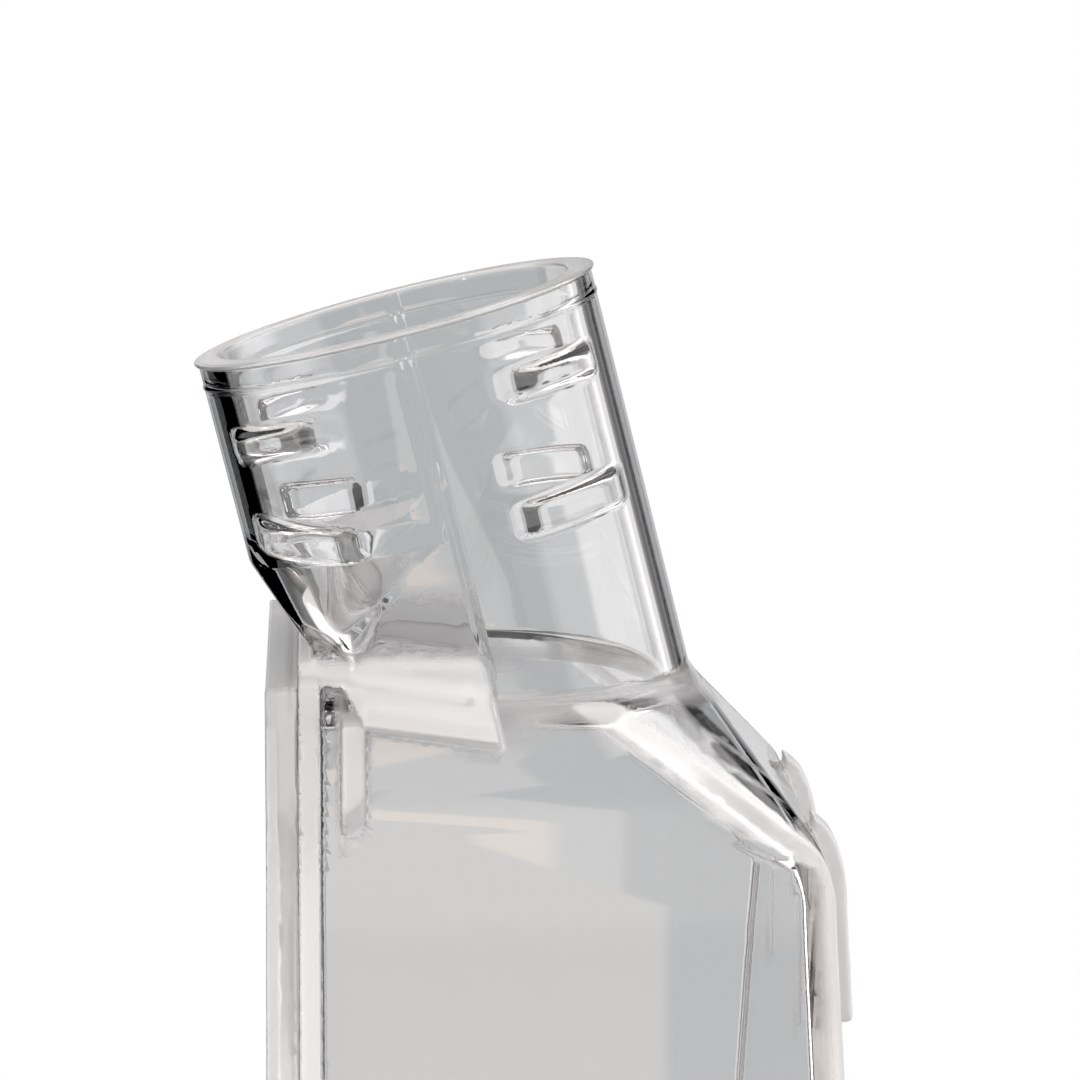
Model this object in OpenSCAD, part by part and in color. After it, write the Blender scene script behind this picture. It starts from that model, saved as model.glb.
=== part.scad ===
// Cell culture flask with a canted neck, a threaded mouth and a welded top plate.
// X runs through the thickness, with the growth floor on the +X side and the top plate on the -X side.
// Y runs across the width, and Z runs up from the bottom end to the mouth.
// The origin is the middle of the bounding box, on the bottom end.

/* [Body] */
// Height of the flat shoulder above the bottom end
shoulder_h = 117; // [105:1:150]
// Width across the side walls
body_w = 84; // [70:1:100]
// Depth from the weld face to the outside of the growth floor
body_t = 37.2; // [34:0.1:44]
// Thickness of the side walls, the end wall and the shoulders
wall_t = 1.8; // [1.2:0.1:2.4]
// Thickness of the growth floor
floor_t = 2; // [1.4:0.1:3]
// Outer radius of the two corners at the bottom end
corner_r = 5; // [3:0.5:10]

/* [Shoulder and ramp] */
// Width of the flat shoulder
shoulder_w = 31; // [30:0.5:36]
// Run of the flat shoulder from the neck axis to the side edges of the ramp
shoulder_run = 7.5; // [4:0.5:10]
// Drop of the ramp from the shoulder to the growth floor
ramp_drop = 11; // [8:0.5:16]
// Width of the body at the foot of the ramp
ramp_foot_w = 37; // [36:0.5:46]
// Height of the tapering side walls below the ramp
taper_run = 36; // [28:1:46]

/* [Neck] */
// Outer diameter of the neck
neck_od = 29; // [26:0.1:30]
// Thickness of the neck wall
neck_wall = 1.7; // [1.3:0.1:2.2]
// Angle of the neck axis from the body's long axis
neck_cant = 14; // [8:1:18]
// Length of the neck axis from the mouth to the shoulder
neck_len = 26.8; // [25:0.1:34]
// Distance of the neck axis from the weld face, at the shoulder
neck_off = 13.4; // [12.5:0.1:15]
// Length of full round neck below the mouth
round_len = 15; // [12:0.5:16]
// Overhang of the lip around the mouth
lip_over = 0.3; // [0.1:0.05:0.6]
// Height of the lip around the mouth
lip_h = 0.75; // [0.4:0.05:1.2]

/* [Thread lugs] */
// Height of a lug above the neck
lug_rise = 0.9; // [0.5:0.05:1.4]
// Width of a lug at its root, along the neck
lug_root = 2.4; // [2:0.1:3.4]
// Width of a lug at its crest, along the neck
lug_crest = 1.2; // [0.6:0.1:1.6]
// Distance of the first row of lugs from the mouth
lug_first = 5.9; // [5:0.1:6.5]
// Distance between the two rows of lugs on the growth side
lug_pitch = 9.2; // [7:0.1:10.5]
// Distance between the two rows of lugs on the roof side
lug_pitch_roof = 7.4; // [6:0.1:7.6]
// Angle from the mould seam to the near end of a lug
lug_start = 26; // [15:1:35]
// Angle that a lug covers
lug_sweep = 37; // [30:1:50]

/* [Collar] */
// Height of the collar's top edge above the shoulder, where the neck's roof half flares out
collar_rise = 3; // [2:0.1:4]
// Drop of the collar's lower edge below the shoulder
collar_drop = 1.2; // [0.6:0.1:2]
// Width of the collar at its lower edge
collar_w = 40; // [38:0.5:44]
// Height of the collar's underside, where it falls back to the side wall
collar_under = 2.6; // [1.5:0.1:4]
// Thickness of the throat's wall behind the flange
throat_t = 2.5; // [1.8:0.1:3]

/* [Weld flange] */
// Thickness of the flange
flange_t = 1.5; // [1:0.1:2.5]
// Overhang of the flange outside the walls
flange_over = 1.2; // [0.6:0.1:2.4]
// Height of the flange's top edge above the shoulder
flange_rise = 2; // [1:0.1:2.6]
// Width of the flange at its top edge
flange_top_w = 38; // [36:0.5:44]

/* [Side ribs] */
// Distance of each rib from the flange
rib_gap = 1.5; // [0.8:0.1:2.5]
// Thickness of each rib
rib_t = 1.6; // [1:0.1:2.4]
// Height of each rib above the side wall
rib_rise = 2; // [1:0.1:2.6]
// Length of each rib below the collar
rib_len = 5.5; // [4:0.1:12]

/* [Feet] */
// Height of the upper feet above the growth floor, below the ramp
foot_h = 1.4; // [0.8:0.1:2]
// Height of every foot above the growth floor, at its lower end
foot_low_h = 2.1; // [1:0.1:3]
// Length of each foot on the growth floor
foot_len = 12; // [7:0.5:14]
// Width of each foot
foot_w = 2.6; // [1.6:0.1:5]
// Distance of each upper foot from the middle
foot_off = 11; // [6:0.5:13]
// Height that the upper feet reach up the ramp
foot_climb = 3.3; // [2:0.1:5]
// Distance of the lower feet from the side walls and from the bottom end
foot_inset = 5; // [4:0.5:10]

/* [Top plate] */
// Thickness of the plate
plate_t = 1.2; // [0.9:0.1:2]
// Height of the stacking rim around the plate
rim_h = 1.1; // [0.6:0.1:1.6]
// Width of the stacking rim
rim_w = 3; // [2:0.5:5]
// Clearance from the plate's edge to the edge of the flange
plate_inset = 0.1; // [0:0.05:0.4]

/* [Hidden] */
$fn = 96;
fn_loft = 32;                    // sides of the rings that a loft starts from
eps = 0.01;                      // overlap that makes a clean cut
slice = 0.05;                    // thickness of the thin slices that a loft runs between
loft_step = 0.15;                // step between a loft and the round neck that it runs into

neck_r = neck_od / 2;
bore_r = neck_r - neck_wall;
mouth_x = neck_off - neck_len * sin(neck_cant);
mouth_z = shoulder_h + neck_len * cos(neck_cant);
lip_r = neck_r + lip_over;

ramp_foot_z = shoulder_h - ramp_drop;
taper_z = ramp_foot_z - taper_run;
ceiling_z = shoulder_h - wall_t;
collar_top_z = shoulder_h + collar_rise;
collar_low_z = shoulder_h - collar_drop;
collar_foot_z = collar_low_z - collar_under;
flange_top_z = shoulder_h + flange_rise;
floor_x = body_t - floor_t;

bore_len = round_len - neck_wall;
throat_x = flange_t + throat_t;
throat_top_z = collar_top_z - wall_t;
ramp_edge_x = axis_x(shoulder_h) + shoulder_run;

// Bounding box through the thickness, from which the origin is set
left_x = min(-plate_t - rim_h, mouth_x - lip_r * cos(neck_cant));
right_x = body_t + foot_low_h;
origin_x = (left_x + right_x) / 2;
big = 2 * (shoulder_h + body_w);

// Place of the neck axis through the thickness, at a height
function axis_x(z) = mouth_x + (mouth_z - z) * tan(neck_cant);

// Half width of the body at a height above the foot of the taper
function half_w(z) =
    z <= taper_z ? body_w / 2
    : z <= ramp_foot_z ? body_w / 2 - (body_w - ramp_foot_w) / 2 * (z - taper_z) / taper_run
    : ramp_foot_w / 2 - (ramp_foot_w - shoulder_w) / 2 * (z - ramp_foot_z) / ramp_drop;

// Place of the ramp's face in the middle, at a height
function ramp_x(z) =
    body_t - (body_t - axis_x(shoulder_h) - neck_r / cos(neck_cant)) * (z - ramp_foot_z) / ramp_drop;

// Moves its children into the neck's own frame: origin at the mouth, Z out of the mouth
module at_neck() {
    translate([mouth_x, 0, mouth_z]) rotate([0, -neck_cant, 0]) children();
}

// The growth side of the neck, from a distance before the parting plane through the neck axis
module growth_half(before) {
    at_neck() translate([-before, -big / 2, -big / 2]) cube(big);
}

// The roof side of the neck, up to a distance before the parting plane
module roof_half(before) {
    at_neck() translate([-big - before, -big / 2, -big / 2]) cube(big);
}

// Thin level slice from x0 to x1, centred on Y, with its top at z
module level(x0, x1, w, z, t = slice) {
    translate([x0, -w / 2, z - t]) cube([x1 - x0, w, t]);
}

// Thin round slice of the neck, square to its axis, at a distance below the mouth
module neck_ring(r, below) {
    at_neck() translate([0, 0, -below]) cylinder(h = slice, r = r, $fn = fn_loft);
}

// Thin level slice of the growth half of the neck, with its top at z
module neck_level(r, z) {
    intersection() {
        at_neck() translate([0, 0, -2 * neck_len]) cylinder(h = 2 * neck_len, r = r, $fn = fn_loft);
        growth_half(0);
        translate([-big / 2, -big / 2, z - slice]) cube([big, big, slice]);
    }
}

// Outline in the YZ plane from the bottom, at the height low, to the foot of the ramp.
// Its sides are grown outward by d. Only an outline inside the body's own has a smaller corner.
module plan(d, low) {
    r = corner_r + min(d, 0);
    w = body_w / 2 + d;
    polygon([[-w, low + r], [w, low + r], [w, taper_z], [half_w(ramp_foot_z) + d, ramp_foot_z],
             [-half_w(ramp_foot_z) - d, ramp_foot_z], [-w, taper_z]]);
    translate([-w + r, low]) square([2 * (w - r), r + eps]);
    for (side = [-1, 1]) translate([side * (w - r), low + r]) circle(r);
}

// Solid from the outline, from x0 to x1 through the thickness
module plan_slab(d, low, x0, x1) {
    translate([x0, 0, 0]) rotate([90, 0, 90]) linear_extrude(height = x1 - x0) plan(d, low);
}

// Outline of the flange and of the top plate, grown outward by d.
// The flange is flush with the bottom end, so that the flask stands level.
module flange_outline(d) {
    w = flange_over + d;
    plan(w, -d);
    polygon([[-half_w(ramp_foot_z) - w, ramp_foot_z - eps], [half_w(ramp_foot_z) + w, ramp_foot_z - eps],
             [flange_top_w / 2 + d, flange_top_z + d], [-flange_top_w / 2 - d, flange_top_z + d]]);
}

module flange_slab(d, x0, x1) {
    translate([x0, 0, 0]) rotate([90, 0, 90]) linear_extrude(height = x1 - x0) flange_outline(d);
}

// Outside of the neck: full round at the mouth, the growth half runs down to the shoulder
module neck_outside() {
    at_neck() translate([0, 0, -round_len]) cylinder(h = round_len, r = neck_r);
    at_neck() translate([0, 0, -lip_h]) cylinder(h = lip_h, r = lip_r);
    intersection() {
        at_neck() translate([0, 0, -2 * neck_len]) cylinder(h = 2 * neck_len - round_len + lip_h, r = neck_r);
        growth_half(neck_wall / 2);
        translate([-big / 2, -big / 2, ceiling_z + wall_t / 3]) cube(big);
    }
}

// Roof half of the neck's foot: a loft from the round neck to a straight edge on the flange
module funnel_outside() {
    hull() {
        neck_ring(neck_r + loft_step, round_len);
        level(flange_t / 2, axis_x(collar_top_z), neck_od + 2 * loft_step, collar_top_z);
    }
}

// Shoulder and ramp: a loft from the neck's foot and the flat shoulder to the straight body
module ramp_outside() {
    hull() {
        level(0, body_t, ramp_foot_w, ramp_foot_z);
        level(flange_t, ramp_edge_x, shoulder_w, shoulder_h);
        neck_level(neck_r - loft_step, shoulder_h);
    }
}

// Collar: the roof half of the shoulder, wider than the growth half
module collar_outside() {
    intersection() {
        hull() {
            level(eps, body_t, neck_od + loft_step, collar_top_z - loft_step);
            level(eps, body_t, collar_w, collar_low_z);
            level(eps, body_t, 2 * half_w(collar_foot_z) - wall_t, collar_foot_z);
        }
        roof_half(0);
    }
}

// One thread lug: a ridge with sloping flanks, in the neck's own frame
module lug(below) {
    root = lug_root / 2;
    crest = lug_crest / 2;
    sunk = neck_r - neck_wall / 2;
    translate([0, 0, -below])
        rotate_extrude(angle = lug_sweep)
            polygon([[sunk, -root], [neck_r, -root], [neck_r + lug_rise, -crest],
                     [neck_r + lug_rise, crest], [neck_r, root], [sunk, root]]);
}

// Two rows of four lugs, placed either side of the front and back seams
module thread() {
    at_neck()
        for (row = [0, 1], seam = [-90, 90], side = [0, 1])
            rotate([0, 0, seam + (side == 0 ? lug_start : -lug_start - lug_sweep)])
                lug(lug_first + row * (seam * (0.5 - side) < 0 ? lug_pitch : lug_pitch_roof));
}

// Ribs that stiffen the side walls beside the flange, with sloping lower ends
module side_ribs() {
    x0 = flange_t + rib_gap;
    low_z = collar_foot_z - rib_len + rib_rise;
    for (side = [-1, 1])
        translate([x0, 0, 0]) rotate([90, 0, 90]) linear_extrude(height = rib_t)
            polygon([[side * (half_w(low_z) - wall_t / 2), low_z - rib_rise],
                     [side * (half_w(low_z) + rib_rise), low_z + rib_rise / 2],
                     [side * collar_w / 2, collar_low_z],
                     [side * (half_w(collar_low_z) - wall_t / 2), collar_low_z]]);
}

// One foot, from its outline in the XZ plane
module foot(outline) {
    rotate([90, 0, 0]) linear_extrude(height = foot_w, center = true) polygon(outline);
}

// Four feet: an upper pair that reaches up the ramp, and a pair at the bottom end
module feet() {
    sunk = floor_t / 2;
    top_z = ramp_foot_z - foot_climb / 4;
    tip_z = ramp_foot_z + foot_climb;
    low_z = foot_inset + foot_len;
    for (side = [-1, 1]) {
        translate([0, side * foot_off, 0])
            foot([[body_t - sunk, top_z - foot_len], [body_t + foot_low_h, top_z - foot_len],
                  [body_t + foot_h, top_z], [body_t + foot_h / 10, ramp_foot_z + foot_climb / 2],
                  [ramp_x(tip_z), tip_z], [ramp_x(tip_z) - sunk, tip_z], [body_t - sunk, ramp_foot_z]]);
        translate([0, side * (body_w / 2 - foot_inset), 0])
            foot([[body_t - sunk, foot_inset], [body_t + foot_low_h, foot_inset],
                  [body_t + foot_low_h, low_z - foot_h], [body_t, low_z], [body_t - sunk, low_z]]);
    }
}

// Inside of the neck: the round bore, and below it a slightly wider growth half down to the shoulder
module neck_inside() {
    at_neck() translate([0, 0, -bore_len]) cylinder(h = bore_len + lip_h, r = bore_r);
    intersection() {
        at_neck() translate([0, 0, -2 * neck_len])
            cylinder(h = 2 * neck_len - bore_len, r = bore_r + loft_step);
        growth_half(neck_wall);
        translate([-big / 2, -big / 2, ceiling_z - wall_t]) cube(big);
    }
}

// Inside of the funnel, down to the shoulder's ceiling
module funnel_inside() {
    hull() {
        neck_ring(bore_r + 2 * loft_step, bore_len);
        level(throat_x, axis_x(ceiling_z), 2 * (bore_r + 2 * loft_step), throat_top_z,
              throat_top_z - ceiling_z + slice);
    }
}

// Inside of the shoulder, the ramp and the straight body
module body_inside() {
    hull() {
        level(-eps, floor_x, ramp_foot_w - 2 * wall_t, ramp_foot_z);
        level(-eps, ramp_edge_x - wall_t / 2, shoulder_w - 2 * wall_t, ceiling_z);
        neck_level(bore_r - loft_step, ceiling_z);
    }
    plan_slab(-wall_t, wall_t, -eps, floor_x);
}

// Inside of the collar, one wall thickness in from its outside
module collar_inside() {
    intersection() {
        hull() {
            level(throat_x + loft_step, body_t, 2 * bore_r - loft_step, throat_top_z - loft_step);
            level(throat_x + loft_step, body_t, collar_w - 2 * wall_t, collar_low_z - wall_t / 2);
            level(throat_x + loft_step, body_t, 2 * half_w(collar_foot_z) - 3 * wall_t,
                  collar_foot_z - wall_t / 2);
        }
        roof_half(wall_t);
    }
}

module body_shell() {
    color("gainsboro", 0.5)
    translate([-origin_x, 0, 0])
    difference() {
        union() {
            plan_slab(0, 0, 0, body_t);
            ramp_outside();
            collar_outside();
            funnel_outside();
            neck_outside();
            flange_slab(0, 0, flange_t);
            side_ribs();
            thread();
            feet();
        }
        neck_inside();
        funnel_inside();
        body_inside();
        collar_inside();
    }
}

module top_plate() {
    color("whitesmoke", 0.5)
    translate([-origin_x, 0, 0])
    difference() {
        flange_slab(-plate_inset, -plate_t - rim_h, 0);
        flange_slab(-plate_inset - rim_w, -plate_t - rim_h - eps, -plate_t);
    }
}

body_shell();
top_plate();
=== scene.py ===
"""Clear cell culture flask with a canted neck: its two pieces, their finishes, the stage and the lights."""
import logging
import math
from dataclasses import dataclass
from enum import Enum
from typing import Callable

import bpy
import numpy as np
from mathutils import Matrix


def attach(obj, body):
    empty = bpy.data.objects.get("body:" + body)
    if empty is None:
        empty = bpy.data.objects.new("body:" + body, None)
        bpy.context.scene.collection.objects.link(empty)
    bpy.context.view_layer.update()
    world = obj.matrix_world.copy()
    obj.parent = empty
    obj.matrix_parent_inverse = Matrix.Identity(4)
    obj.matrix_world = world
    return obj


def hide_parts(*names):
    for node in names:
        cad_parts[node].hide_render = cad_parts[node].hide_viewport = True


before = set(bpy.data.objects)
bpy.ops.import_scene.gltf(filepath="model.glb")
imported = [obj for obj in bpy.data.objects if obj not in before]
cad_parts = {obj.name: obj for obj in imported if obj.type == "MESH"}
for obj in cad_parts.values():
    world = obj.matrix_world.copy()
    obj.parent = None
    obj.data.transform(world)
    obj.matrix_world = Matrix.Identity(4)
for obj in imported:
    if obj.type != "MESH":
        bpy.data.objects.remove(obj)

import openvdb
from mathutils import Matrix, Vector

LOG = logging.getLogger("flask")
MM = 0.001
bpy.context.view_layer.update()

# The mesh value that says how matt each point is, and in millimetres how near a matt part a point has to lie
# and over which distance the matt face fades.
FROST = "frost"
MATT_REACH = 0.15
MATT_FADE = 0.3

# A place beyond every part, in millimetres, and the share of a distance that is counted across leaning faces.
FAR = 1000.0
LEAN_SCALE = 0.8

Array = np.ndarray
Field = Callable[[Array, Array, Array], Array]


# ---------------------------------------------------------------------------------------------
# Signed distances, in millimetres: below zero inside a solid
# ---------------------------------------------------------------------------------------------

def length(*parts: Array) -> Array:
    """Return the length of the vector with the given parts."""
    return np.sqrt(sum(part * part for part in parts))


def join(a: Array, b: Array, r: float = 0.0) -> Array:
    """Join two solids with a fillet.

    Args:
        a: distance to the first solid.
        b: distance to the second solid.
        r: radius of the fillet where they meet.

    Returns:
        Distance to the joined solid.
    """
    if r <= 0.0:
        return np.minimum(a, b)
    return np.maximum(r, np.minimum(a, b)) - length(np.maximum(r - a, 0.0), np.maximum(r - b, 0.0))


def common(a: Array, b: Array, r: float | Array = 0.0) -> Array:
    """Keep what two solids share, with a rounded edge.

    Args:
        a: distance to the first solid.
        b: distance to the second solid.
        r: radius of the edge where their surfaces cross.

    Returns:
        Distance to the shared solid.
    """
    if not np.any(r):
        return np.maximum(a, b)
    return np.minimum(-r, np.maximum(a, b)) + length(np.maximum(r + a, 0.0), np.maximum(r + b, 0.0))


def cut(a: Array, b: Array, r: float = 0.0) -> Array:
    """Cut the second solid out of the first, with a rounded edge of radius r."""
    return common(a, -b, r)


def slab(v: Array, low: float, high: float) -> Array:
    """Return the distance to the slab between two parallel faces."""
    return np.maximum(low - v, v - high)


def plane(v: Array, w: Array, a: tuple[float, float], b: tuple[float, float]) -> Array:
    """Return the distance to the straight line from a to b, with the solid on its left.

    Args:
        v: first coordinate of the points.
        w: second coordinate of the points.
        a: start of the line.
        b: end of the line.

    Returns:
        Distance, above zero on the line's right.
    """
    dv, dw = b[0] - a[0], b[1] - a[1]
    return ((v - a[0]) * dw - (w - a[1]) * dv) / math.hypot(dv, dw)


def bevel(out: Array, height: Array, run: float, rise: float) -> Array:
    """Return the distance to a face that slopes in from its foot.

    Args:
        out: distance outside the foot of the face.
        height: height above the foot.
        run: how far the face slopes in over the full rise.
        rise: the full rise.

    Returns:
        Distance to the sloping face.
    """
    return (out * rise + height * run) / math.hypot(rise, run)


def bump(v: Array, width: float) -> Array:
    """Return a smooth bell that falls from one to near nothing at the given width."""
    return np.exp(-(v / (0.5 * width)) ** 2)


# ---------------------------------------------------------------------------------------------
# Sizes
# ---------------------------------------------------------------------------------------------

@dataclass(frozen=True)
class FlaskSizes:
    """Driving sizes of the flask, in millimetres, measured from the weld face, the middle and the bottom.

    Args:
        shoulder_h: height of the shoulder.
        body_w: width over the side walls.
        body_t: thickness from the weld face to the growth side.
        wall_t: thickness of the side walls, the bottom end and the shoulder.
        floor_t: thickness of the growth floor.
        corner_r: radius of the bottom corners.
        shoulder_w: width at the shoulder.
        ramp_drop: height of the ramp, from its foot to the shoulder.
        ramp_foot_w: width at the ramp's foot.
        taper_run: height over which the side walls taper, up to the ramp's foot.
        neck_r: outer radius of the neck.
        neck_wall: thickness of the neck.
        neck_cant: angle that the neck leans by, towards the roof side, in radians.
        neck_len: length of the neck's axis above the shoulder.
        neck_off: place of the neck's axis at the shoulder.
        round_len: distance from the mouth over which the roof half of the neck stays round.
        lip_over: how far the lip stands out.
        lip_h: height of the lip.
        flange_t: thickness of the weld flange.
        flange_over: how far the flange stands out from the side walls.
        flange_rise: how far the flange reaches above the shoulder.
        flange_top_w: width of the flange's top edge.
        throat_t: thickness of the funnel's wall at the flange.
        collar_rise: how far the collar reaches above the shoulder.
        collar_drop: how far below the shoulder the collar's widest line lies.
        collar_w: width of the collar.
        collar_under: height of the collar below its widest line.
        foot_h: how far the feet stand out at their top.
        foot_low_h: how far the feet stand out at their lower end.
        plate_t: thickness of the plate.
        rim_h: how far the plate's rim stands out.
        rim_w: width of the rim.
        plate_inset: how far the plate's edge lies inside the flange's.
    """

    shoulder_h: float = 117.0
    body_w: float = 84.0
    body_t: float = 37.2
    wall_t: float = 1.8
    floor_t: float = 2.0
    corner_r: float = 5.0
    shoulder_w: float = 31.0
    ramp_drop: float = 11.0
    ramp_foot_w: float = 37.0
    taper_run: float = 36.0
    neck_r: float = 14.5
    neck_wall: float = 1.7
    neck_cant: float = math.radians(14.0)
    neck_len: float = 26.8
    neck_off: float = 13.4
    round_len: float = 15.0
    lip_over: float = 0.3
    lip_h: float = 0.35
    flange_t: float = 1.5
    flange_over: float = 1.2
    flange_rise: float = 2.0
    flange_top_w: float = 38.0
    throat_t: float = 2.5
    collar_rise: float = 3.0
    collar_drop: float = 0.5
    collar_w: float = 40.0
    collar_under: float = 1.2
    foot_h: float = 1.4
    foot_low_h: float = 2.1
    plate_t: float = 1.2
    rim_h: float = 1.1
    rim_w: float = 3.0
    plate_inset: float = 0.1

    @property
    def bore_r(self) -> float:
        """Inner radius of the neck."""
        return self.neck_r - self.neck_wall

    @property
    def mouth(self) -> tuple[float, float]:
        """Middle of the mouth: place through the thickness, and height."""
        return (self.neck_off - self.neck_len * math.sin(self.neck_cant),
                self.shoulder_h + self.neck_len * math.cos(self.neck_cant))

    @property
    def ramp_foot_z(self) -> float:
        """Height of the foot of the ramp."""
        return self.shoulder_h - self.ramp_drop

    @property
    def taper_z(self) -> float:
        """Height at which the side walls start to taper."""
        return self.ramp_foot_z - self.taper_run

    @property
    def origin_x(self) -> float:
        """Place of the shared frame's origin, measured from the weld face."""
        left = self.mouth[0] - (self.neck_r + self.lip_over) * math.cos(self.neck_cant)
        return 0.5 * (left + self.body_t + self.foot_low_h)

    def axis_x(self, z: float) -> float:
        """Return the place of the neck axis at a height."""
        return self.mouth[0] + (self.mouth[1] - z) * math.tan(self.neck_cant)


SIZES = FlaskSizes()


# ---------------------------------------------------------------------------------------------
# Meshing
# ---------------------------------------------------------------------------------------------

@dataclass(frozen=True)
class Run:
    """A stretch of a grid line: where it ends and its spacing, in millimetres."""

    end: float
    step: float


def stops(start: float, runs: tuple[Run, ...]) -> Array:
    """Return grid stops from start through every run.

    Args:
        start: first stop.
        runs: stretches in order, each with its own spacing.

    Returns:
        The stops, in order.
    """
    line = [start]
    for run in runs:
        count = max(1, round(abs(run.end - line[-1]) / run.step))
        line.extend(np.linspace(line[-1], run.end, count + 1)[1:])
    return np.array(line)


@dataclass
class LevelGrid:
    """A grid of points whose levels may lean, on which a field becomes a mesh.

    Args:
        across: stops through the thickness, measured from each level's centre.
        half: stops across the width from the middle outward; the other half is its mirror image.
        centre_x: place of each level's centre through the thickness.
        centre_z: height of each level's centre.
        lean: angle that each level leans by, in radians.
    """

    across: Array
    half: Array
    centre_x: Array
    centre_z: Array
    lean: Array

    def place(self, i: Array, j: Array, k: Array) -> tuple[Array, Array, Array]:
        """Return the points at fractional grid places.

        Args:
            i: place along the thickness.
            j: place across the full mirrored width.
            k: place along the levels.

        Returns:
            The points' three coordinates.
        """
        middle = len(self.half) - 1
        offset = np.interp(i, np.arange(len(self.across)), self.across)
        side = np.interp(np.abs(j - middle), np.arange(len(self.half)), self.half) * np.sign(j - middle)
        levels = np.arange(len(self.centre_x))
        lean = np.interp(k, levels, self.lean)
        return (np.interp(k, levels, self.centre_x) + offset * np.cos(lean), side,
                np.interp(k, levels, self.centre_z) + offset * np.sin(lean))

    def sample(self, solid: Field) -> Array:
        """Return the field at every grid point of the full mirrored width."""
        offset = self.across[:, None, None]
        x = self.centre_x + offset * np.cos(self.lean)
        z = self.centre_z + offset * np.sin(self.lean)
        values = solid(x, self.half[None, :, None], z).astype(np.float32)
        return np.concatenate([values[:, :0:-1], values], axis=1)


def gradient(solid: Field, x: Array, y: Array, z: Array, h: float = 0.02) -> Array:
    """Return the field's slope at points, by central differences of the given reach."""
    return np.stack([solid(x + h, y, z) - solid(x - h, y, z), solid(x, y + h, z) - solid(x, y - h, z),
                     solid(x, y, z + h) - solid(x, y, z - h)], axis=-1) / (2.0 * h)


def skin(name: str, solid: Field, frost: Field, grid: LevelGrid, adaptivity: float,
         settle: int = 3) -> bpy.types.Object:
    """Make a mesh object of the field's surface.

    Args:
        name: name of the object.
        solid: field of the solid, in millimetres from the weld face, the middle and the bottom.
        frost: how matt the surface is at each point, 0 to 1.
        grid: grid that the surface is found on.
        adaptivity: how readily flat stretches take larger faces.
        settle: how many times each vertex moves onto the true surface.

    Returns:
        The object, linked to the scene, with exact smooth normals.
    """
    volume = openvdb.FloatGrid(1.0)
    volume.copyFromArray(grid.sample(solid))
    points, triangles, quads = volume.convertToPolygons(isovalue=0.0, adaptivity=adaptivity)
    x, y, z = grid.place(*points.T.astype(float))
    for _ in range(settle):
        slope = gradient(solid, x, y, z)
        steep = np.maximum((slope ** 2).sum(axis=-1), 0.1)
        move = np.clip(solid(x, y, z) / steep, -0.2, 0.2)[:, None] * slope
        x, y, z = x - move[:, 0], y - move[:, 1], z - move[:, 2]
    normals = gradient(solid, x, y, z)
    normals /= np.maximum(np.linalg.norm(normals, axis=-1, keepdims=True), 1e-9)
    vertices = np.stack([x - SIZES.origin_x, y, z], axis=-1) * MM

    corners = np.concatenate([quads.ravel(), triangles.ravel()]).astype(np.int32)
    sizes = np.concatenate([np.full(len(quads), 4), np.full(len(triangles), 3)]).astype(np.int32)
    mesh = bpy.data.meshes.new(name)
    mesh.vertices.add(len(vertices))
    mesh.vertices.foreach_set("co", vertices.astype(np.float32).ravel())
    mesh.loops.add(len(corners))
    mesh.loops.foreach_set("vertex_index", corners)
    mesh.polygons.add(len(sizes))
    mesh.polygons.foreach_set("loop_start", (np.cumsum(sizes) - sizes).astype(np.int32))
    mesh.update(calc_edges=True)
    mesh.validate()
    mesh.shade_smooth()
    mesh.normals_split_custom_set_from_vertices(normals.astype(np.float32))
    matt = mesh.attributes.new(FROST, "FLOAT", "POINT")
    matt.data.foreach_set("value", np.clip(frost(x, y, z), 0.0, 1.0).astype(np.float32))
    piece = bpy.data.objects.new(name, mesh)
    bpy.context.scene.collection.objects.link(piece)
    return piece


# ---------------------------------------------------------------------------------------------
# The moulded shell
# ---------------------------------------------------------------------------------------------

@dataclass(frozen=True)
class Wall:
    """One skin of the body and shoulder, outer or inner, as the sizes that its field is built from.

    Args:
        half_w: half the width over the straight sides.
        floor_x: place of the growth side.
        low_z: height of the bottom end.
        top_z: height of the shoulder.
        foot_half_w: half the width at the ramp's foot.
        shoulder_half_w: half the width at the shoulder.
        corner_r: radius of the bottom corners.
        side_r: radius of the ramp's side edges.
        post_r: radius of the upright edges below the ramp.
        edge_r: radius of the shoulder's edge.
        foot_z: height of the ramp's foot.
        ramp_top_x: place of the ramp's top.
    """

    half_w: float
    floor_x: float
    low_z: float
    top_z: float
    foot_half_w: float
    shoulder_half_w: float
    corner_r: float
    side_r: float
    post_r: float
    edge_r: float
    foot_z: float
    ramp_top_x: float


class Side(Enum):
    """The half of the neck, on one side of the mould seam or the other."""

    GROWTH = 1.0
    ROOF = -1.0


@dataclass(frozen=True)
class Lug:
    """One thread lug.

    Args:
        start: angle of its end near the seam, in radians from the seam.
        end: angle of its far end.
        below_start: distance of its middle below the mouth at the start.
        below_end: distance of its middle below the mouth at the end.
        root: height of its section at the neck.
        flank: how far each flank slopes in over the full rise.
        start_run: how far the start slopes in over the full rise.
        end_run: how far the far end slopes in over the full rise.
        rise: how far it stands out.
    """

    start: float
    end: float
    below_start: float
    below_end: float
    root: float
    flank: float
    start_run: float
    end_run: float
    rise: float


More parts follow.
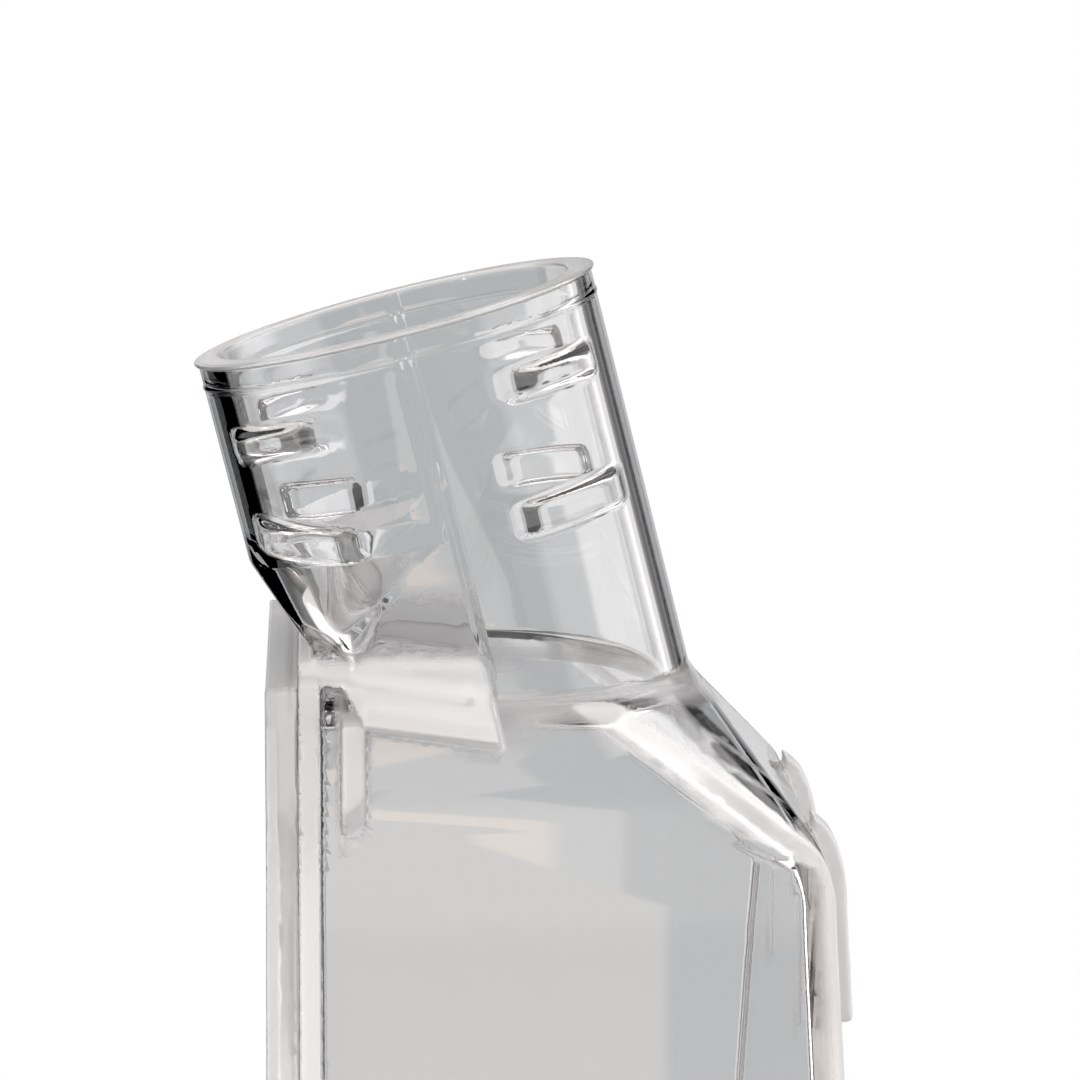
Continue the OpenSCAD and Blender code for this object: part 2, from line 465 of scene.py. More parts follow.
@dataclass
class BodyShell:
    """The injection moulding: neck, lip, lugs, funnel, shoulder, ramp, collar, walls, floor, feet and flange.

    Args:
        sizes: driving sizes of the flask.
        ramp_r: radius of the ramp's round top.
        ramp_bend_r: radius where the ramp bends into the growth side.
        waist_r: radius where the side walls bend in at the ramp's foot.
        taper_r: radius where the side walls start to taper.
        edge_r: radius of the outer edges.
        hollow_r: radius of the ramp's side edges inside.
        post_r: radius of the upright edges inside.
        post_run: height over which one radius changes to the other.
        fillet: radius of the small fillets and rims.
        base_fillet: fillet round the neck's foot outside.
        throat_fillet: fillet round the neck's foot inside.
        lug_fillet: fillet round each lug.
        seam_w: distance between the two lines of a mould seam.
        seam_h: how far the lines stand out.
        line_w: width of a raised line.
        step_below: distance of the step line below the mouth.
        step_h: how far the step line stands out.
        lip_r: radius of the lip's edges.
        collar_tip: how steeply the collar's lower edge falls away from the weld face.
        collar_tip_x: place through the thickness where that edge has its named height.
        tip_scale: share of the distance to that edge that is counted, since it leans.
        ledge_in: how much narrower than the shoulder the collar's top ledge is.
        skirt_drop: height of the ledge above the collar's skirt.
        rib_gap: gap between the flange and the rib.
        rib_t: thickness of the rib.
        rib_drop: distance of the rib's lower end below the shoulder.
        rib_slope: how steeply the rib's lower end is cut back.
        foot_w: width of a foot.
        foot_len: length of a foot.
        foot_off: distance of an upper foot from the middle.
        foot_climb: how far an upper foot reaches up the ramp.
        foot_inset: distance of a lower foot from the bottom end and from the side.
        crease_w: reach of the matt band along the ramp's edges.
        heel_w: reach of the matt band round the neck's foot inside.
        lip_matt: how matt the lip is.
        heel_matt: how matt the neck's foot is.
        growth_lugs: lugs of the growth half of the neck.
        roof_lugs: lugs of the roof half of the neck.
    """

    sizes: FlaskSizes = SIZES
    ramp_r: float = 20.1
    ramp_bend_r: float = 1.5
    waist_r: float = 1.5
    taper_r: float = 2.0
    edge_r: float = 0.5
    hollow_r: float = 1.0
    post_r: float = 0.45
    post_run: float = 2.0
    fillet: float = 0.3
    base_fillet: float = 0.7
    throat_fillet: float = 1.5
    lug_fillet: float = 0.35
    seam_w: float = 0.64
    seam_h: float = 0.04
    line_w: float = 0.34
    step_below: float = 2.0
    step_h: float = 0.10
    lip_r: float = 0.14
    collar_tip: float = 0.14
    collar_tip_x: float = 5.0
    tip_scale: float = 0.95
    ledge_in: float = 0.8
    skirt_drop: float = 1.3
    rib_gap: float = 1.5
    rib_t: float = 1.6
    rib_drop: float = 7.0
    rib_slope: float = 0.85
    foot_w: float = 2.6
    foot_len: float = 12.0
    foot_off: float = 11.0
    foot_climb: float = 3.3
    foot_inset: float = 5.0
    crease_w: float = 0.8
    heel_w: float = 1.3
    lip_matt: float = 0.35
    heel_matt: float = 0.6
    growth_lugs: tuple[Lug, ...] = (Lug(0.44, 1.10, 5.75, 5.95, 2.3, 0.55, 2.6, 1.3, 0.9),
                                    Lug(0.35, 1.08, 15.15, 15.15, 2.5, 0.25, 1.5, 1.6, 0.8))
    roof_lugs: tuple[Lug, ...] = (Lug(0.46, 1.11, 5.70, 5.95, 2.3, 0.55, 2.8, 1.3, 0.9),
                                  Lug(0.43, 1.12, 14.2, 12.3, 2.6, 0.30, 1.2, 2.0, 0.8))

    def in_neck(self, x: Array, z: Array) -> tuple[Array, Array]:
        """Return each point's place towards the growth side and its distance below the mouth."""
        dx, dz = x - self.sizes.mouth[0], z - self.sizes.mouth[1]
        sin, cos = math.sin(self.sizes.neck_cant), math.cos(self.sizes.neck_cant)
        return dx * cos + dz * sin, dx * sin - dz * cos

    def outer_wall(self) -> Wall:
        """Return the sizes of the body's outer skin."""
        s = self.sizes
        return Wall(
            half_w=0.5 * s.body_w, floor_x=s.body_t, low_z=0.0, top_z=s.shoulder_h,
            foot_half_w=0.5 * s.ramp_foot_w, shoulder_half_w=0.5 * s.shoulder_w, corner_r=s.corner_r,
            side_r=self.edge_r, post_r=self.edge_r, edge_r=self.edge_r, foot_z=s.ramp_foot_z,
            ramp_top_x=s.axis_x(s.shoulder_h) + s.neck_r / math.cos(s.neck_cant))

    def inner_wall(self) -> Wall:
        """Return the sizes of the body's inner skin."""
        s = self.sizes
        wall = s.wall_t
        return Wall(
            half_w=0.5 * s.body_w - wall, floor_x=s.body_t - s.floor_t, low_z=wall, top_z=s.shoulder_h - wall,
            foot_half_w=0.5 * s.ramp_foot_w - wall, shoulder_half_w=0.5 * s.shoulder_w - wall,
            corner_r=s.corner_r - wall, side_r=self.hollow_r, post_r=self.post_r, edge_r=self.edge_r,
            foot_z=s.ramp_foot_z - 0.3 * wall,
            ramp_top_x=s.axis_x(s.shoulder_h - wall) + s.bore_r / math.cos(s.neck_cant))

    def walls(self, y: Array, z: Array, wall: Wall) -> Array:
        """Return the outline across the width: straight sides, tapering sides, shoulder and bottom corners."""
        taper = plane(y, z, (wall.half_w, self.sizes.taper_z), (wall.foot_half_w, self.sizes.ramp_foot_z))
        waist = plane(y, z, (wall.foot_half_w, self.sizes.ramp_foot_z), (wall.shoulder_half_w, wall.top_z))
        sides = common(join(taper, waist, self.waist_r), y - wall.half_w, self.taper_r)
        return common(sides, wall.low_z - z, wall.corner_r)

    def ramp(self, x: Array, y: Array, z: Array, wall: Wall) -> Array:
        """Return the growth side: the flat floor, and the ramp fanning out from its two lower corners."""
        rise = (z - wall.foot_z) / (wall.top_z - wall.foot_z)
        up = np.clip(rise, 0.0, 1.0)
        radius = up * self.ramp_r
        centre_x = (1.0 - rise) * wall.floor_x + rise * wall.ramp_top_x - radius
        centre_y = np.where(rise > 0.0, (1.0 - up) * wall.foot_half_w, FAR)
        dx, dy = x - centre_x, y - centre_y
        slope = (wall.floor_x - wall.ramp_top_x) / (wall.top_z - wall.foot_z)
        fan = length(np.maximum(dx, 0.0), np.maximum(dy, 0.0)) + np.minimum(dx, 0.0) - radius
        return common(x - wall.floor_x, fan / math.hypot(1.0, slope), self.ramp_bend_r)

    def body(self, x: Array, y: Array, z: Array, wall: Wall) -> Array:
        """Return the straight body with its shoulder and ramp."""
        radius = np.interp(z, (wall.foot_z - self.post_run, wall.foot_z), (wall.post_r, wall.side_r))
        block = common(self.walls(y, z, wall), self.ramp(x, y, z, wall), radius)
        return common(block, z - wall.top_z, wall.edge_r)

    def funnel(self, x: Array, y: Array, z: Array, r: float, below: float, corner: tuple[float, float]) -> Array:
        """Return the roof half of the neck's foot, from a round ring to a straight edge.

        Args:
            x: place through the thickness.
            y: distance from the middle.
            z: height.
            r: radius of the ring.
            below: distance of the ring below the mouth.
            corner: place and height of the straight edge.

        Returns:
            Distance to the funnel.
        """
        sizes = self.sizes
        side, under = self.in_neck(x, z)
        corner_under = self.in_neck(np.array(corner[0]), np.array(corner[1]))[1]
        down = (under - below) / (corner_under - below)
        t = np.clip(down, 0.0, 1.0)
        ring_x = sizes.mouth[0] + below * math.sin(sizes.neck_cant)
        centre_x = (1.0 - t) * ring_x + t * corner[0]
        cos = math.cos(sizes.neck_cant)
        dx = np.maximum(centre_x - x, 0.0) / cos
        dy = np.maximum(y - t * r, 0.0)
        loft = length(dx, dy) - (1.0 - t) * r + np.minimum(np.maximum((centre_x - x) / cos, y - t * r), 0.0)
        return np.where(down < 0.0, length(side, y) - r, LEAN_SCALE * loft)

    def collar(self, x: Array, y: Array, z: Array, shrink: float) -> Array:
        """Return the roof half of the shoulder, wider than the growth half, shrunk by a wall."""
        sizes = self.sizes
        side, _ = self.in_neck(x, z)
        tipped = z + self.collar_tip * (x - self.collar_tip_x)
        top_z, low_z = sizes.shoulder_h + sizes.collar_rise, sizes.shoulder_h - sizes.collar_drop
        ledge_y, skirt_z = 0.5 * sizes.shoulder_w - self.ledge_in, top_z - self.skirt_drop
        ledge = common(y - ledge_y + shrink, z - top_z + shrink, 0.7)
        slope = plane(y, tipped, (0.5 * sizes.collar_w, low_z + 0.5), (ledge_y, skirt_z))
        under = plane(y, tipped, (0.5 * sizes.shoulder_w + 1.0, low_z - sizes.collar_under),
                      (0.5 * sizes.collar_w + 0.4, low_z - 0.1))
        skirt = common(common(slope + shrink, under + shrink, 0.35), z - skirt_z + shrink)
        inward = sizes.flange_t + self.rib_gap + self.rib_t - x
        nick = np.clip(inward, 0.0, self.rib_t) + np.clip(8.0 * inward, 0.0, sizes.collar_under)
        below = self.tip_scale * (low_z - sizes.collar_under + nick - tipped)
        block = np.maximum(join(ledge, skirt, 1.0), below)
        return common(block, side + shrink, self.fillet)

    def flange_outline(self, y: Array, z: Array, grow: float) -> Array:
        """Return the outline of the weld flange in the plane of the plate, grown by a length."""
        sizes = self.sizes
        w = sizes.flange_over + grow
        half_w, foot_w = 0.5 * sizes.body_w + w, 0.5 * sizes.ramp_foot_w + w
        top_z, top_w = sizes.shoulder_h + sizes.flange_rise + grow, 0.5 * sizes.flange_top_w + grow
        taper = plane(y, z, (half_w, sizes.taper_z), (foot_w, sizes.ramp_foot_z))
        waist = plane(y, z, (foot_w, sizes.ramp_foot_z), (top_w, top_z))
        sides = common(join(taper, waist, self.waist_r), y - half_w, self.taper_r)
        sides = common(sides, -min(grow, 0.0) - z, sizes.corner_r + min(grow, 0.0))
        return common(sides, z - top_z, 0.5)

    def lug(self, side: Array, y: Array, under: Array, lug: Lug, half: Side) -> Array:
        """Return one thread lug.

        Args:
            side: place towards the growth side, in the neck's own frame.
            y: distance from the middle.
            under: distance below the mouth.
            lug: the lug.
            half: the half of the neck that the lug is on.

        Returns:
            Distance to the lug.
        """
        r = self.sizes.neck_r
        angle = np.arctan2(half.value * side, np.maximum(y, 1e-3))
        height = length(side, y) - r
        share = np.clip((angle - lug.start) / (lug.end - lug.start), 0.0, 1.0)
        middle = lug.below_start + share * (lug.below_end - lug.below_start)
        band = bevel(np.abs(under - middle) - 0.5 * lug.root, height, lug.flank, lug.rise)
        near = bevel((lug.start - angle) * r, height, lug.start_run, lug.rise)
        far = bevel((angle - lug.end) * r, height, lug.end_run, lug.rise)
        return common(common(common(band, near, 0.4), far, 0.4), np.maximum(height - lug.rise, -1.0 - height), 0.25)

    def neck(self, x: Array, y: Array, z: Array) -> Array:
        """Return the outside of the neck with its lip, step line, lugs and mould seams."""
        sizes = self.sizes
        side, under = self.in_neck(x, z)
        radius = length(side, y)
        seam = bump(side - 0.5 * self.seam_w, self.line_w) + bump(side + 0.5 * self.seam_w, self.line_w)
        seam = np.where(y > 0.0, seam, 0.0)
        step = bump(under - self.step_below, self.line_w)
        barrel = radius - sizes.neck_r - self.seam_h * seam - self.step_h * step
        half_h = 0.5 * sizes.lip_h
        lip = common(radius - sizes.neck_r - sizes.lip_over, np.abs(under - half_h) - half_h, self.lip_r)
        barrel = join(barrel, lip, 0.15)
        for half, lugs in ((Side.GROWTH, self.growth_lugs), (Side.ROOF, self.roof_lugs)):
            for lug in lugs:
                barrel = join(barrel, self.lug(side, y, under, lug, half), self.lug_fillet)
        return common(barrel, -under, self.fillet)

    def ribs(self, x: Array, y: Array, z: Array) -> Array:
        """Return the ribs beside the flange, with their lower ends cut back two ways."""
        sizes = self.sizes
        low_z = sizes.shoulder_h - self.rib_drop
        out_y = 0.5 * sizes.collar_w
        x0 = sizes.flange_t + self.rib_gap
        tipped = z - self.rib_slope * (x - x0)
        foot = plane(y, tipped, (out_y - 3.0, low_z - 3.0), (out_y, low_z))
        rib = common(slab(x, x0, x0 + self.rib_t), y - out_y, self.fillet)
        return common(common(rib, LEAN_SCALE * foot, self.fillet), z - sizes.shoulder_h + 0.6)

    def feet(self, x: Array, y: Array, z: Array) -> Array:
        """Return the four feet: an upper pair that reaches up the ramp, and a lower pair."""
        s = self.sizes
        top_z = s.ramp_foot_z - 0.25 * self.foot_climb
        low_z = self.foot_inset + self.foot_len
        face, front, tip = s.body_t + s.foot_low_h, s.body_t + s.foot_h, s.body_t + 0.1 * s.foot_h
        shin = plane(x, z, (face, top_z - self.foot_len), (front, top_z))
        knee = plane(x, z, (front, top_z), (tip, s.ramp_foot_z + 0.5 * self.foot_climb))
        brow = plane(x, z, (tip, s.ramp_foot_z + 0.5 * self.foot_climb), (34.5, s.ramp_foot_z + self.foot_climb))
        upper = common(common(common(shin, top_z - self.foot_len - z, 0.5), knee, 0.8), brow, 0.5)
        behind = plane(x, z, (32.9, s.ramp_foot_z + self.foot_climb), (s.body_t - 1.0, s.ramp_foot_z))
        upper = np.maximum(np.maximum(upper, np.minimum(-behind, s.body_t - 1.0 - x)), 28.0 - x)
        upper = common(upper, np.abs(y - self.foot_off) - 0.5 * self.foot_w, 0.4)
        slope = plane(x, z, (face, low_z - s.foot_h), (s.body_t, low_z))
        lower = common(common(x - face, self.foot_inset - z, 0.5), slope, 0.5)
        lower = np.maximum(lower, s.body_t - 1.0 - x)
        lower = common(lower, np.abs(y - 0.5 * s.body_w + self.foot_inset) - 0.5 * self.foot_w, 0.4)
        return join(upper, lower)

    def outside(self, x: Array, y: Array, z: Array) -> Array:
        """Return the whole outside of the moulding."""
        s = self.sizes
        side, under = self.in_neck(x, z)
        collar_top = s.shoulder_h + s.collar_rise
        body = self.body(x, y, z, self.outer_wall())
        body = join(body, self.collar(x, y, z, 0.0), self.fillet)
        body = join(body, self.ribs(x, y, z), 0.25)
        flange = common(self.flange_outline(y, z, 0.0), x - s.flange_t, self.fillet)
        body = join(join(body, flange, self.fillet), self.feet(x, y, z), self.fillet)
        funnel = self.funnel(x, y, z, s.neck_r, s.round_len, (s.flange_t, collar_top))
        upper = np.where((side > 0.0) | (under < s.round_len), self.neck(x, y, z), funnel)
        upper = np.maximum(upper, s.shoulder_h - s.wall_t - z)
        return join(np.maximum(body, -x), upper, self.base_fillet)

    def inside(self, x: Array, y: Array, z: Array) -> Array:
        """Return the hollow: bore, funnel, shoulder, ramp and body, open at the mouth and at the weld face."""
        s = self.sizes
        wall = s.wall_t
        side, under = self.in_neck(x, z)
        bore = length(side, y) - s.bore_r
        bore_end = s.round_len - s.neck_wall
        edge = (s.flange_t + s.throat_t, s.shoulder_h + s.collar_rise - wall)
        funnel = self.funnel(x, y, z, s.bore_r, bore_end, edge)
        throat = np.where((side > 0.0) | (under < bore_end), bore, funnel)
        throat = np.maximum(throat, s.shoulder_h - 2.0 * wall - z)
        hollow = join(self.body(x, y, z, self.inner_wall()), throat, self.throat_fillet)
        hollow = join(hollow, np.maximum(self.collar(x, y, z, wall), s.flange_t + s.throat_t - x), 1.0)
        return hollow

    def solid(self, x: Array, y: Array, z: Array) -> Array:
        """Return the moulding: its outside with the hollow cut out."""
        y = np.abs(y)
        return cut(self.outside(x, y, z), self.inside(x, y, z), self.fillet)

    def frost(self, x: Array, y: Array, z: Array) -> Array:
        """Return how matt the skin is: the collar, ribs, feet, flange, lip, ramp's edge and neck's heel."""
        s = self.sizes
        y = np.abs(y)
        side, under = self.in_neck(x, z)
        lip = self.lip_matt * (1.0 - (np.abs(under) - 0.25) / 0.2)
        heel = np.maximum(np.abs(length(side, y) - s.bore_r), np.abs(z - s.shoulder_h + s.wall_t)) - self.heel_w
        heel = self.heel_matt * (1.0 - np.maximum(heel, -side) / 0.6)
        outer = self.outer_wall()
        crease = np.maximum(np.abs(self.walls(y, z, outer)), np.abs(self.ramp(x, y, z, outer))) - self.crease_w
        crease = np.maximum(crease, z - s.shoulder_h)
        edge = np.maximum(np.abs(self.flange_outline(y, z, 0.0)), x - s.flange_t - 0.1)
        matt = np.minimum(np.abs(self.collar(x, y, z, 0.0)), np.abs(self.ribs(x, y, z)))
        matt = np.minimum(np.minimum(matt, np.abs(self.feet(x, y, z))), np.minimum(edge, crease))
        return np.maximum(np.maximum(lip, heel), 1.0 - (matt - MATT_REACH) / MATT_FADE)

    def grid(self) -> LevelGrid:
        """Return the grid: level in the body, leaning with the neck above the ramp's foot."""
        s = self.sizes
        sin, cos = math.sin(s.neck_cant), math.cos(s.neck_cant)
        foot_below = (s.mouth[1] - s.ramp_foot_z) / cos
        low = stops(-0.6, (Run(5.5, 0.4), Run(18.0, 0.6), Run(66.0, 3.0), Run(s.ramp_foot_z, 0.38)))
        below = stops(foot_below, (Run(s.round_len + 2.5, 0.30), Run(2.2, 0.25), Run(1.0, 0.12), Run(0.9, 0.1),
                                   Run(-0.2, 0.08), Run(-0.7, 0.25)))[1:]
        turn = np.clip((foot_below - below) / (foot_below - s.round_len - 2.5), 0.0, 1.0)
        axis = s.axis_x(s.ramp_foot_z)
        return LevelGrid(
            across=stops(-axis - 0.9, (Run(-0.7, 0.32), Run(0.7, 0.1),
                                       Run(s.body_t + s.foot_low_h + 0.7 - axis, 0.32))),
            half=stops(0.0, (Run(22.5, 0.32), Run(42.3, 0.33), Run(0.5 * s.body_w + s.flange_over + 1.0, 0.4))),
            centre_x=np.concatenate([np.full(len(low), axis), s.mouth[0] + below * sin]),
            centre_z=np.concatenate([low, s.mouth[1] - below * cos]),
            lean=np.concatenate([np.zeros(len(low)), s.neck_cant * turn * turn * (3.0 - 2.0 * turn)]))

    def build(self) -> bpy.types.Object:
        """Build the moulding's mesh."""
        return skin("body_shell_moulding", self.solid, self.frost, self.grid(), adaptivity=0.003)


# ---------------------------------------------------------------------------------------------
# The plate
# ---------------------------------------------------------------------------------------------

@dataclass
class TopPlate:
    """The flat plate welded over the open face, with a stacking rim near its edge.

    Args:
        shell: the moulding that the plate closes.
        sizes: driving sizes of the flask.
        gap: gap between the plate and the weld face.
        edge_matt: reach of the matt band along the plate's edge.
    """

    shell: BodyShell
    sizes: FlaskSizes = SIZES
    gap: float = 0.02
    edge_matt: float = 0.3

    def solid(self, x: Array, y: Array, z: Array) -> Array:
        """Return the plate and its rim."""
        s = self.sizes
        outline = self.shell.flange_outline(np.abs(y), z, -s.plate_inset)
        sheet = common(outline, slab(x, -s.plate_t, -self.gap), 0.2)
        rim = common(slab(outline, -s.rim_w, 0.0), slab(x, -s.plate_t - s.rim_h, -0.6), 0.25)
        return join(sheet, rim, 0.3)

    def frost(self, x: Array, y: Array, z: Array) -> Array:
        """Return how matt the skin is: the plate's edge and rim are not polished."""
        outline = self.shell.flange_outline(np.abs(y), z, -self.sizes.plate_inset)
        return 1.0 - (np.abs(outline) - self.edge_matt) / MATT_FADE

    def grid(self) -> LevelGrid:
        """Return the grid, fine through the thickness and level all the way up."""
        s = self.sizes
        levels = stops(-0.6, (Run(6.0, 0.35), Run(66.0, 2.0), Run(102.0, 0.7),
                              Run(s.shoulder_h + s.flange_rise + 0.8, 0.35)))
        return LevelGrid(
            across=stops(-s.plate_t - s.rim_h - 0.5, (Run(0.5, 0.14),)),
            half=stops(0.0, (Run(0.5 * s.body_w + s.flange_over + 0.9, 0.4),)),
            centre_x=np.zeros(len(levels)), centre_z=levels, lean=np.zeros(len(levels)))

    def build(self) -> bpy.types.Object:
        """Build the plate's mesh."""
        return skin("top_plate_sheet", self.solid, self.frost, self.grid(), adaptivity=0.02)


# ---------------------------------------------------------------------------------------------
# Finishes
# ---------------------------------------------------------------------------------------------

@dataclass(frozen=True)
class ClearPlastic:
    """A clear moulded plastic.

    Args:
        name: name of the material.
        tint: colour of the plastic's faces.
        ior: refractive index.
        rough: roughness of its polished faces.
        matt: roughness of its matt faces.
        milk: share of light that its matt faces throw back.
        soak: colour that is left after the clear distance.
        soak_density: how fast the plastic takes light away, for each metre.
    """

    name: str
    tint: tuple[float, float, float]
    ior: float
    rough: float
    matt: float
    milk: float
    soak: tuple[float, float, float]
    soak_density: float

    def material(self) -> bpy.types.Material:
        """Build the material's nodes."""
        material = bpy.data.materials.new(self.name)
        material.use_nodes = True
        tree = material.node_tree
        surface = tree.nodes["Principled BSDF"]
        surface.inputs["Base Color"].default_value = (*self.tint, 1.0)
        frost = tree.nodes.new("ShaderNodeAttribute")
        frost.attribute_name = FROST
        rough = tree.nodes.new("ShaderNodeMapRange")
        rough.inputs["To Min"].default_value = self.rough
        rough.inputs["To Max"].default_value = self.matt
        tree.links.new(frost.outputs["Fac"], rough.inputs["Value"])
        tree.links.new(rough.outputs["Result"], surface.inputs["Roughness"])
        surface.inputs["IOR"].default_value = self.ior
        clear = tree.nodes.new("ShaderNodeMapRange")
        clear.inputs["To Min"].default_value = 1.0
        clear.inputs["To Max"].default_value = 1.0 - self.milk
        tree.links.new(frost.outputs["Fac"], clear.inputs["Value"])
        tree.links.new(clear.outputs["Result"], surface.inputs["Transmission Weight"])
        volume = tree.nodes.new("ShaderNodeVolumeAbsorption")
        volume.inputs["Color"].default_value = (*self.soak, 1.0)
        volume.inputs["Density"].default_value = self.soak_density
        tree.links.new(volume.outputs["Volume"], tree.nodes["Material Output"].inputs["Volume"])
        return material


SHELL_PLASTIC = ClearPlastic(
    name="clear_polystyrene_shell", tint=(0.96, 0.96, 0.965), ior=1.59, rough=0.0, matt=0.32, milk=0.55,
    soak=(0.70, 0.45, 0.25), soak_density=1.2)
PLATE_PLASTIC = ClearPlastic(
    name="clear_polystyrene_plate", tint=(0.96, 0.96, 0.965), ior=1.59, rough=0.0, matt=0.25, milk=0.38,
    soak=(0.70, 0.45, 0.25), soak_density=1.2)


# ---------------------------------------------------------------------------------------------
# Stage, lights and camera
# ---------------------------------------------------------------------------------------------

@dataclass(frozen=True)
class Panel:
    """A softbox, a cloth, a card or a black flag standing round the table.

    Args:
        name: what it is.
        centre: heading of its middle, degrees clockwise from straight behind the flask.
        span: width, degrees.
        low: lower edge, degrees above level.
        high: upper edge, degrees above level.
        light: colour and strength of its light.
        soft: width of its soft edge, degrees.
        slope: rise of its upper and lower edge for each degree of heading, degrees.
    """

    name: str
    centre: float
    span: float
    low: float
    high: float
    light: tuple[float, float, float]
    soft: float = 3.0
    slope: float = 0.0


def soft_band(tree: bpy.types.NodeTree, value: bpy.types.NodeSocket, middle: float, half: float,
              soft: float) -> bpy.types.NodeSocket:
    """Return a socket that is 1 within a band of angles and falls to 0 outside it.

    Args:
        tree: node tree to build in.
        value: socket of the angle, radians.
        middle: middle of the band, degrees.
        half: half its width, degrees.
        soft: width of its soft edge, degrees.

    Returns:
        the socket of the share.
    """
    shift = tree.nodes.new("ShaderNodeMath")
    shift.operation = "SUBTRACT"
    shift.inputs[1].default_value = math.radians(middle)
    size = tree.nodes.new("ShaderNodeMath")
    size.operation = "ABSOLUTE"
    edge = tree.nodes.new("ShaderNodeMapRange")
    edge.interpolation_type = "SMOOTHSTEP"
    edge.inputs["From Min"].default_value = math.radians(half + 0.5 * soft)
    edge.inputs["From Max"].default_value = math.radians(half - 0.5 * soft)
    tree.links.new(value, shift.inputs[0])
    tree.links.new(shift.outputs["Value"], size.inputs[0])
    tree.links.new(size.outputs["Value"], edge.inputs["Value"])
    return edge.outputs["Result"]


PANELS = (
    Panel("ceiling", 0.0, 400.0, 52.0, 91.0, (1.25, 1.15, 1.11), 10.0),
    Panel("left softbox", -104.0, 72.0, -15.0, 52.0, (1.70, 1.63, 1.59), 8.0),
    Panel("right softbox", 88.0, 82.0, -15.0, 52.0, (1.75, 1.72, 1.70), 4.0),
    Panel("high softbox", 48.0, 36.0, 26.0, 52.0, (1.75, 1.72, 1.70), 4.0),
    Panel("front softbox", 180.0, 60.0, 22.0, 52.0, (1.60, 1.52, 1.47), 10.0),
    Panel("table round the floor", 0.0, 400.0, -91.0, -15.0, (0.70, 0.68, 0.66), 2.0),
    Panel("left flag", -39.0, 42.0, -38.0, 22.0, (0.0, 0.0, 0.0), 2.0),
    Panel("right flag", 31.0, 18.0, -20.0, 25.0, (0.0, 0.0, 0.0), 2.0),
    Panel("backdrop", 2.0, 40.0, -60.0, 22.0, (0.43, 0.45, 0.46), 2.0),
    Panel("bright cloth right", 13.8, 10.2, -60.0, 22.0, (0.72, 0.72, 0.72), 1.0),
    Panel("bright cloth left", -7.5, 8.0, -8.0, 22.0, (0.76, 0.76, 0.77), 2.0),
    Panel("grey card", 1.7, 3.4, -60.0, -7.7, (0.54, 0.55, 0.55), 0.2, -0.78),
    Panel("warm card", 1.3, 2.6, -60.0, -9.2, (0.70, 0.65, 0.61), 0.4, -0.78),
    Panel("pale card", 1.85, 4.1, -60.0, -10.8, (0.565, 0.56, 0.555), 0.2, -0.79),
)


